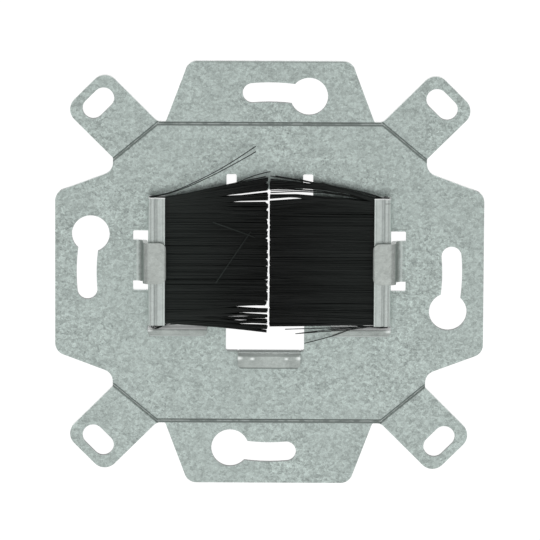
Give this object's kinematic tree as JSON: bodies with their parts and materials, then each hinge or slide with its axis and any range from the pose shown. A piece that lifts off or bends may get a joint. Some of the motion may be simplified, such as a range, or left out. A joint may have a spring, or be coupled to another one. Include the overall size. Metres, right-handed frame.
{
  "type": "brush cable grommet",
  "caption": "Square galvanised carrier plate for a flush wall box, with two clamped brush strips that close its cable opening.",
  "frame": {"origin": "middle of the plate, on its back face, which lies on the wall or the table", "axes": "+Z out of the wall towards the room, +Y up as fitted, +X to the right seen from the front"},
  "size_m": [0.0702, 0.0702, 0.0042],
  "materials": {
    "galvanised_sheet": "hot dip galvanised, fine spangle",
    "channel_steel": "galvanised strip, rolled smooth",
    "core_wire": "drawn wire",
    "bristle_nylon": "black nylon filament, satin"
  },
  "bodies": {
    "root": {"carrier_plate": "galvanised_sheet", "left_channel": "channel_steel", "right_channel": "channel_steel", "left_core_wire": "core_wire", "right_core_wire": "core_wire", "left_bristles": "bristle_nylon", "right_bristles": "bristle_nylon"}
  },
  "joints": []
}
